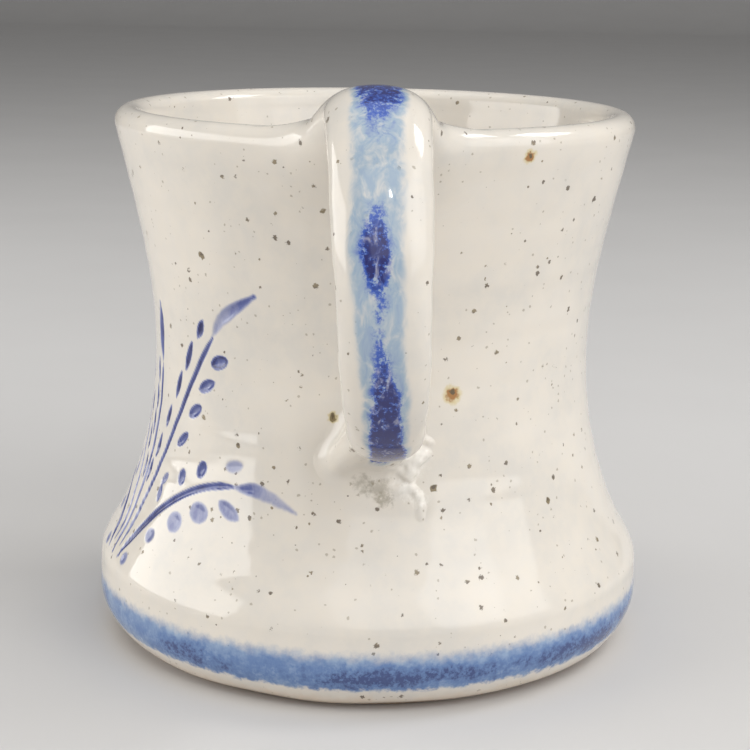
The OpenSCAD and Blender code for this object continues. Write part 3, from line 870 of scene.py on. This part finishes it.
class Nodes:
    """Short calls for building one material's nodes."""

    def __init__(self, name):
        self.material = bpy.data.materials.new(name)
        self.material.use_nodes = True
        self.tree = self.material.node_tree
        self.tree.nodes.clear()
        self.bsdf = self.new("BsdfPrincipled")
        self.link(self.bsdf.outputs[0], self.new("OutputMaterial").inputs[0])
        metres = self.new("TexCoord").outputs["Object"]
        self.place = self.vector("MULTIPLY", metres, (1 / MM, 1 / MM, 1 / MM))

    def new(self, kind, **inputs):
        """A shader node with its inputs linked or set by name."""
        n = self.tree.nodes.new("ShaderNode" + kind)
        for key, value in inputs.items():
            self.put(value, n.inputs[key])
        return n

    def link(self, a, b):
        self.tree.links.new(a, b)

    def put(self, value, socket):
        """Link a socket, or set it if the value is a number or a list of them."""
        if isinstance(value, (int, float, tuple, list)):
            socket.default_value = value
        else:
            self.link(value, socket)

    def math(self, op, a, b=0.0):
        n = self.new("Math")
        n.operation = op
        self.put(a, n.inputs[0])
        self.put(b, n.inputs[1])
        return n.outputs[0]

    def times(self, a, b):
        return self.math("MULTIPLY", a, b)

    def vector(self, op, a, b=None):
        n = self.new("VectorMath")
        n.operation = op
        self.link(a, n.inputs[0])
        if b is not None:
            n.inputs[1].default_value = b
        return n.outputs["Value" if op in ("LENGTH", "DISTANCE") else "Vector"]

    def stretched(self, x, y, z):
        """The place with its axes scaled, for drawn-out noise."""
        return self.vector("MULTIPLY", self.place, (x, y, z))

    def noise(self, size, detail=2.0, rough=0.5, place=None, distort=0.0):
        """Noise with features about size mm across."""
        n = self.new("TexNoise", Vector=place or self.place, Scale=1 / size, Detail=detail,
                     Roughness=rough, Distortion=distort)
        return n.outputs["Fac"]

    def ramp(self, value, a, b, lo=0.0, hi=1.0):
        """Smooth step from lo at a to hi at b."""
        limits = {"From Min": a, "From Max": b, "To Min": lo, "To Max": hi}
        n = self.new("MapRange", Value=value, **limits)
        n.interpolation_type = "SMOOTHSTEP"
        return n.outputs["Result"]

    def mix(self, share, a, b):
        """Colour from a (share 0) to b (share 1)."""
        n = self.new("Mix")
        n.data_type = "RGBA"
        self.put(share, n.inputs[0])
        for value, key in ((a, 6), (b, 7)):
            self.put((*value, 1.0) if isinstance(value, tuple) else value, n.inputs[key])
        return n.outputs[2]

    def lay(self, under, cover, strength, over):
        """Colour over another, where cover is 1, at some strength."""
        return self.mix(self.times(cover, strength), under, over)

    def attribute(self, name):
        n = self.new("Attribute")
        n.attribute_name = name
        return n.outputs["Fac"]

    def height(self):
        return self.new("SeparateXYZ", Vector=self.place).outputs["Z"]

    def specks(self, spacing, biggest, chance, shift):
        """1 inside scattered iron specks: spacing and biggest radius in mm."""
        moved = self.vector("ADD", self.place, (shift, shift * 1.7, shift * 0.6))
        n = self.new("TexVoronoi", Vector=moved, Scale=1 / spacing, Randomness=1.0)
        parts = self.new("SeparateColor", Color=n.outputs["Color"])
        size = self.times(self.math("POWER", parts.outputs[0], 2.2), biggest / spacing)
        rough = self.ramp(self.noise(0.35, 2), 0.3, 0.7, 0.65, 1.35)
        gap = self.math("DIVIDE", n.outputs["Distance"], self.times(size, rough))
        there = self.ramp(gap, 1.15, 0.75)
        return self.times(there, self.math("LESS_THAN", parts.outputs[1], chance))

    def distance_from(self, a, z):
        """Distance in mm from one place on the outside, at angle a and height z."""
        x, out, up = on_wall(a, z)
        return self.vector("DISTANCE", self.place, (x, -out, up))

    def spot(self, a, z, radius):
        """1 inside a small spot with a wavy edge."""
        wave = self.ramp(self.noise(0.9, 2), 0.2, 0.8, -0.3, 0.3)
        wavy = self.math("ADD", self.distance_from(a, z), wave)
        return self.ramp(wavy, radius * 1.15, radius * 0.75)

    def cloud_spot(self, a, z, radius):
        """A soft patch with torn edges round one place on the outside."""
        torn = self.ramp(self.noise(1.1, 4, 0.7), 0.25, 0.75, -0.9, 0.9)
        away = self.math("ADD", self.distance_from(a, z), torn)
        return self.ramp(away, radius * 1.7, radius * 0.3)

    def bump(self, height, strength, distance, under=None):
        n = self.new("Bump", Height=height, Strength=strength, Distance=distance * MM)
        if under is not None:
            self.link(under, n.inputs["Normal"])
        return n.outputs[0]


# Linear colours
CREAM = (0.73, 0.682, 0.612)
CREAM_WARM = (0.76, 0.695, 0.60)
CREAM_GREY = (0.665, 0.63, 0.575)
TOASTED = (0.62, 0.47, 0.33)
IRON = (0.085, 0.055, 0.03)
OLIVE = (0.20, 0.15, 0.075)
# Whitish slip of the crumbs, made lighter as a painted highlight
CRUMB_WHITE_AND_HIGHLIGHT = (0.86, 0.83, 0.77)
# Brownish grey painted shade under the lower joint
UNDER_JOINT_SHADE = (0.27, 0.235, 0.17)
RUST = (0.33, 0.14, 0.035)
RUST_HALO = (0.62, 0.50, 0.20)
# Cobalt as a thin wash, as full colour and as pooled pigment
STROKE_TONES = ((0.34, 0.43, 0.52), (0.028, 0.095, 0.45), (0.006, 0.011, 0.125))
BAND_TONES = ((0.29, 0.40, 0.56), (0.10, 0.19, 0.40), (0.025, 0.055, 0.19))
SPRAY_TONES = ((0.31, 0.33, 0.48), (0.075, 0.10, 0.30), (0.012, 0.016, 0.11))
CLAY_BROWN = (0.30, 0.19, 0.115)
CLAY_TAN = (0.42, 0.29, 0.185)
CLAY_SAND = (0.50, 0.38, 0.26)
CLAY_FLASH = (0.20, 0.10, 0.05)
GROG = (0.09, 0.055, 0.035)
FLOOR_DIM = (0.62, 0.61, 0.60)
FLOOR_PALE = (0.66, 0.65, 0.64)

# Larger iron spots: angle, height, radius, colour and whether a yellow halo is round it
SPOTS = [(-32.4, 89.8, 0.85, RUST, True), (-19.8, 51.2, 1.15, RUST, True),
         (8.9, 47.6, 0.7, OLIVE, True), (26.6, 88.7, 0.45, IRON, False),
         (42.6, 72.1, 0.6, OLIVE, False), (10.3, 81.8, 0.65, OLIVE, False),
         (-57.3, 81.3, 0.55, IRON, False), (-46.1, 31.3, 0.5, OLIVE, False),
         (-15.0, 36.2, 0.6, OLIVE, False), (33.0, 41.2, 0.4, OLIVE, False),
         (118.0, 74.0, 0.8, RUST, True), (171.0, 33.0, 0.7, RUST, True),
         (-128.0, 58.0, 0.9, RUST, True), (-95.0, 24.0, 0.6, OLIVE, False),
         (148.0, 62.0, 0.55, IRON, False), (-160.0, 79.0, 0.6, OLIVE, False)]


# Whitish slip crumbs round the lower joint, lightened further as a painted highlight, and darker
# painted shade under the joint: angle, height and radius
CRUMB_AND_HIGHLIGHT_PATCHES = [(-9.8, 40.6, 2.3), (-8.6, 36.2, 1.3), (-11.6, 34.6, 1.2)]
SHADE_PATCHES = [(-2.2, 36.4, 1.6), (1.2, 37.4, 1.3), (-3.6, 34.6, 0.9)]

GLAZE_IOR = 1.45
GLAZE_ROUGHNESS = (0.06, 0.11)
SPECK_ROUGHNESS = 0.2
CLAY_ROUGHNESS = 0.82
FLOOR_ROUGHNESS = 0.75


def cobalt_colour(m, ink, tones):
    """Colour of cobalt from a thin wash (ink 0) to pooled pigment (ink 1)."""
    pale, mid, dark = tones
    first = m.mix(m.ramp(ink, 0.2, 0.6), pale, mid)
    return m.mix(m.ramp(ink, 0.55, 0.95), first, dark)


def cream_colour(m, height):
    """Cloudy cream, toasted brown towards its lower edge."""
    colour = m.mix(m.ramp(m.noise(16, 3), 0.35, 0.65), CREAM, CREAM_GREY)
    colour = m.lay(colour, m.ramp(m.noise(3.2, 4, 0.6), 0.3, 0.7), 0.45, CREAM_WARM)
    wander = m.ramp(m.noise(2.5, 2), 0.2, 0.8, -0.6, 0.6)
    return m.lay(colour, m.ramp(m.math("ADD", height, wander), 4.2, 1.2), 0.6, TOASTED)


def iron_over(m, colour, strong):
    """Faint and strong specks, the larger iron spots, and at the lower joint the whitish crumbs
    lightened as a painted highlight and the painted shade under it.
    """
    colour = m.lay(colour, m.specks(1.2, 0.27, 0.75, 3.0), 0.45, OLIVE)
    colour = m.lay(colour, strong, 0.85, m.mix(m.ramp(m.noise(2.0), 0.45, 0.6), IRON, OLIVE))
    for a, z, radius, tint, halo in SPOTS:
        if halo:
            colour = m.lay(colour, m.spot(a, z, radius * 1.45), 0.6, RUST_HALO)
        inner = m.mix(m.spot(a, z + 0.3 * radius, radius * 0.5), tint, IRON)
        colour = m.lay(colour, m.spot(a, z, radius), 0.9, inner)
    # Whitish crumbs: slip colour lightened as a painted highlight
    for patch in CRUMB_AND_HIGHLIGHT_PATCHES:
        colour = m.lay(colour, m.cloud_spot(*patch), 0.6, CRUMB_WHITE_AND_HIGHLIGHT)
    # Painted shade under the lower joint
    for patch in SHADE_PATCHES:
        colour = m.lay(colour, m.cloud_spot(*patch), 0.5, UNDER_JOINT_SHADE)
    return colour


def band_over(m, colour, height):
    """Cobalt band round the base: crisp below, bleeding upwards."""
    level = m.math("ADD", height, m.ramp(m.noise(1.8, 3, 0.65), 0.2, 0.8, -0.55, 0.55))
    low, high = BAND_Z - BAND_HALF, BAND_Z + BAND_HALF
    outside = m.ramp(m.vector("LENGTH", m.stretched(1, 1, 0)), BAND_INNER_R - 0.5, BAND_INNER_R + 0.5)
    band = m.times(m.ramp(level, low - 1.0, low), m.ramp(level, high + 1.1, high - 1.5))
    band = m.times(band, outside)
    off_core = m.math("ABSOLUTE", m.math("SUBTRACT", level, BAND_Z - 0.35 * BAND_HALF))
    core = m.ramp(off_core, 1.1 * BAND_HALF, 0.1 * BAND_HALF)
    patches = m.ramp(m.noise(14, 3, 0.6), 0.38, 0.62, 0.25, 1.0)
    streaks = m.ramp(m.noise(0.8, 4, 0.7), 0.35, 0.65, 0.35, 1.0)
    pooled = m.times(m.times(core, patches), streaks)
    washed = m.ramp(m.noise(3.0, 3, 0.6), 0.3, 0.7, 0.3, 0.5)
    ink = m.math("ADD", washed, m.times(pooled, 0.72))
    return m.lay(colour, band, 0.95, cobalt_colour(m, ink, BAND_TONES))


def stroke_over(m, colour, flow):
    """Brushed stroke down the handle: a thin wash with clumps of dark pigment."""
    wash, dark = m.attribute("stroke_wash"), m.attribute("stroke_dark")
    cover = m.ramp(m.times(wash, m.ramp(flow, 0.25, 0.75, 0.45, 1.4)), 0.0, 0.65)
    clumps = m.ramp(m.noise(1.5, 4, 0.72), 0.34, 0.62, 0.45, 1.3)
    grains = m.ramp(m.noise(0.55, 4, 0.75), 0.3, 0.66, 0.4, 1.45)
    speckled = m.times(m.times(dark, clumps), grains)
    pigment = m.times(m.ramp(speckled, 0.12, 0.85), m.ramp(dark, 0.35, 0.95, 0.2, 0.62))
    ink = m.math("ADD", m.times(wash, m.ramp(flow, 0.3, 0.7, 0.2, 0.5)), pigment)
    return m.lay(colour, cover, 0.96, cobalt_colour(m, ink, STROKE_TONES))


def spray_over(m, colour, flow):
    """Cobalt in the pressed wheat spray."""
    spray = m.attribute("spray_ink")
    cover = m.ramp(m.math("ADD", spray, m.ramp(flow, 0.3, 0.7, -0.03, 0.03)), 0.02, 0.3)
    ink = m.times(spray, m.ramp(flow, 0.3, 0.7, 0.8, 1.12))
    return m.lay(colour, cover, 0.97, cobalt_colour(m, ink, SPRAY_TONES))


def glaze_material(name):
    """Glossy speckled cream glaze, with the cobalt that melted into it."""
    m = Nodes(name)
    height = m.height()
    strong = m.specks(2.1, 0.47, 0.78, 11.0)
    flow = m.noise(1.6, 3, 0.6, m.stretched(1, 1, 0.45), 0.6)
    colour = iron_over(m, cream_colour(m, height), strong)
    colour = band_over(m, colour, height)
    colour = stroke_over(m, colour, flow)
    colour = spray_over(m, colour, flow)
    m.link(colour, m.bsdf.inputs["Base Color"])
    rough = m.ramp(m.noise(5, 3), 0.3, 0.7, *GLAZE_ROUGHNESS)
    rough = m.math("ADD", rough, m.times(strong, SPECK_ROUGHNESS))
    m.link(rough, m.bsdf.inputs["Roughness"])
    m.bsdf.inputs["IOR"].default_value = GLAZE_IOR
    ripple = m.bump(m.noise(2.2, 2, 0.45), 0.25, 0.05)
    m.link(m.bump(strong, 0.35, 0.04, ripple), m.bsdf.inputs["Normal"])
    return m.material


def clay_material():
    """Bare fired stoneware: warm brown, sandy and matte."""
    m = Nodes("bare_clay")
    grog = m.specks(1.3, 0.35, 0.6, 5.0)
    tone = m.mix(m.ramp(m.noise(7, 4, 0.6), 0.3, 0.7), CLAY_BROWN, CLAY_TAN)
    tone = m.lay(tone, m.ramp(m.noise(0.8, 3, 0.7), 0.45, 0.7), 0.5, CLAY_SAND)
    tone = m.lay(tone, grog, 0.7, GROG)
    tone = m.lay(tone, m.ramp(m.height(), 0.2, 1.6), 0.5, CLAY_FLASH)
    m.link(tone, m.bsdf.inputs["Base Color"])
    m.bsdf.inputs["Roughness"].default_value = CLAY_ROUGHNESS
    sand = m.bump(m.noise(0.45, 5, 0.7), 0.6, 0.12)
    m.link(m.bump(grog, 0.4, 0.1, sand), m.bsdf.inputs["Normal"])
    return m.material


def floor_material():
    """Pale matte paper with a faint drift in its tone."""
    m = Nodes("studio_floor")
    m.link(m.mix(m.noise(60, 2), FLOOR_DIM, FLOOR_PALE), m.bsdf.inputs["Base Color"])
    m.bsdf.inputs["Roughness"].default_value = FLOOR_ROUGHNESS
    return m.material


# ---- stage

def build_floor():
    """A pale sheet that lies flat under the mug and sweeps up far behind it."""
    half, depth, rise, bend = 2.4, 3.0, 0.7, 0.5
    path = [(-depth, 0.0), (0.0, 0.0), (depth - bend, 0.0)]
    for t in np.linspace(0, math.pi / 2, 24)[1:]:
        path.append((depth - bend + bend * math.sin(t), bend - bend * math.cos(t)))
    path.append((depth, rise))
    verts = [(x * half / MM, y / MM, z / MM - 0.02) for y, z in path for x in (-1, 1)]
    loops = [i for k in range(len(path) - 1) for i in (2 * k, 2 * k + 1, 2 * k + 3, 2 * k + 2)]
    obj = new_object("studio_floor", verts, loops, np.full(len(path) - 1, 4))
    obj.data.materials.append(floor_material())


# Area lights: name, place and size in metres, watts and colour
WARM_WHITE = (1.0, 0.99, 0.97)
LIGHTS = [("left_softbox", (-0.70, -0.06, 0.22), (0.80, 0.40), 3.9, WARM_WHITE),
          ("right_upper", (0.52, 0.10, 0.62), (0.25, 0.25), 1.6, (1.0, 0.99, 0.98)),
          ("front_fill", (0.55, -1.2, 1.1), (2.2, 1.5), 13.0, (1, 1, 1)),
          ("right_fill", (1.3, -0.9, 0.8), (1.6, 1.4), 13.0, (1, 1, 1)),
          ("top_fill", (0.0, 0.1, 1.1), (0.9, 0.9), 2.0, (1, 1, 1)),
          ("camera_lamp", (0.05, -0.42, 0.42), (0.012, 0.03), 0.12, (1, 1, 1))]
LIGHT_TARGET = (0, 0, 0.05)
WORLD_COLOUR = (0.88, 0.875, 0.87, 1)
WORLD_STRENGTH = 0.22


def build_lights():
    """Soft studio panels round the mug, a small lamp near the camera and a dim sky."""
    for name, place, size, watts, tint in LIGHTS:
        light = bpy.data.lights.new(name, "AREA")
        light.shape = "RECTANGLE"
        light.size, light.size_y = size
        light.energy = watts
        light.color = tint
        obj = bpy.data.objects.new(name, light)
        obj.location = place
        bpy.context.collection.objects.link(obj)
        toward = Vector(LIGHT_TARGET) - obj.location
        obj.rotation_euler = toward.to_track_quat("-Z", "Y").to_euler()
    world = bpy.data.worlds.new("studio")
    world.use_nodes = True
    sky = world.node_tree.nodes["Background"].inputs
    sky[0].default_value = WORLD_COLOUR
    sky[1].default_value = WORLD_STRENGTH
    bpy.context.scene.world = world


CAMERA_BACK = 0.3157
CAMERA_UP = 0.1204
CAMERA_LENS = 85.8
CAMERA_PITCH = 13.34
CAMERA_ROLL = 0.965
CAMERA_YAW = 0.133


def build_camera():
    """The camera at the photographed viewpoint, with depth of field off."""
    data = bpy.data.cameras.new("camera")
    data.lens = CAMERA_LENS
    data.sensor_width = 36.0
    data.clip_start = 0.01
    data.dof.use_dof = False
    cam = bpy.data.objects.new("camera", data)
    cam.location = (0, -CAMERA_BACK, CAMERA_UP)
    cam.rotation_mode = "XYZ"
    bpy.context.collection.objects.link(cam)
    turn = (Matrix.Rotation(math.radians(-CAMERA_YAW), 4, "Z")
            @ Matrix.Rotation(math.radians(90 - CAMERA_PITCH), 4, "X")
            @ Matrix.Rotation(math.radians(CAMERA_ROLL), 4, "Z"))
    cam.rotation_euler = turn.to_euler()
    bpy.context.scene.camera = cam


# ---- put it together

def place_piece(obj, material, slot, *nodes):
    """Give a piece its material, put it on the body and hide the CAD nodes it stands for."""
    obj.data.materials.append(material)
    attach(obj, "root")
    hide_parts(*nodes)


build_camera()
build_lights()
build_floor()

glaze = glaze_material("cream_glaze")
clay = clay_material()

place_piece(build_clay_body(), clay, "bare_stoneware", "thrown_body")
place_piece(build_glaze_skin(), glaze, "cream_glaze",
            "glaze_coat", "base_band", "wheat_stems", "wheat_blades", "wheat_grains")
place_piece(build_strap(), glaze, "cream_glaze", "handle_strap", "handle_glaze", "handle_stroke")
upper_joint = joint_object("upper_joint", UPPER_BOX, cell=0.45, fillet=6.0, crumbs=False)
place_piece(upper_joint, glaze, "cream_glaze", "upper_luting")
lower_joint = joint_object("lower_joint", LOWER_BOX, cell=0.4, fillet=2.6, crumbs=True)
place_piece(lower_joint, glaze, "cream_glaze", "lower_luting")

bpy.context.scene.view_settings.view_transform = "Standard"
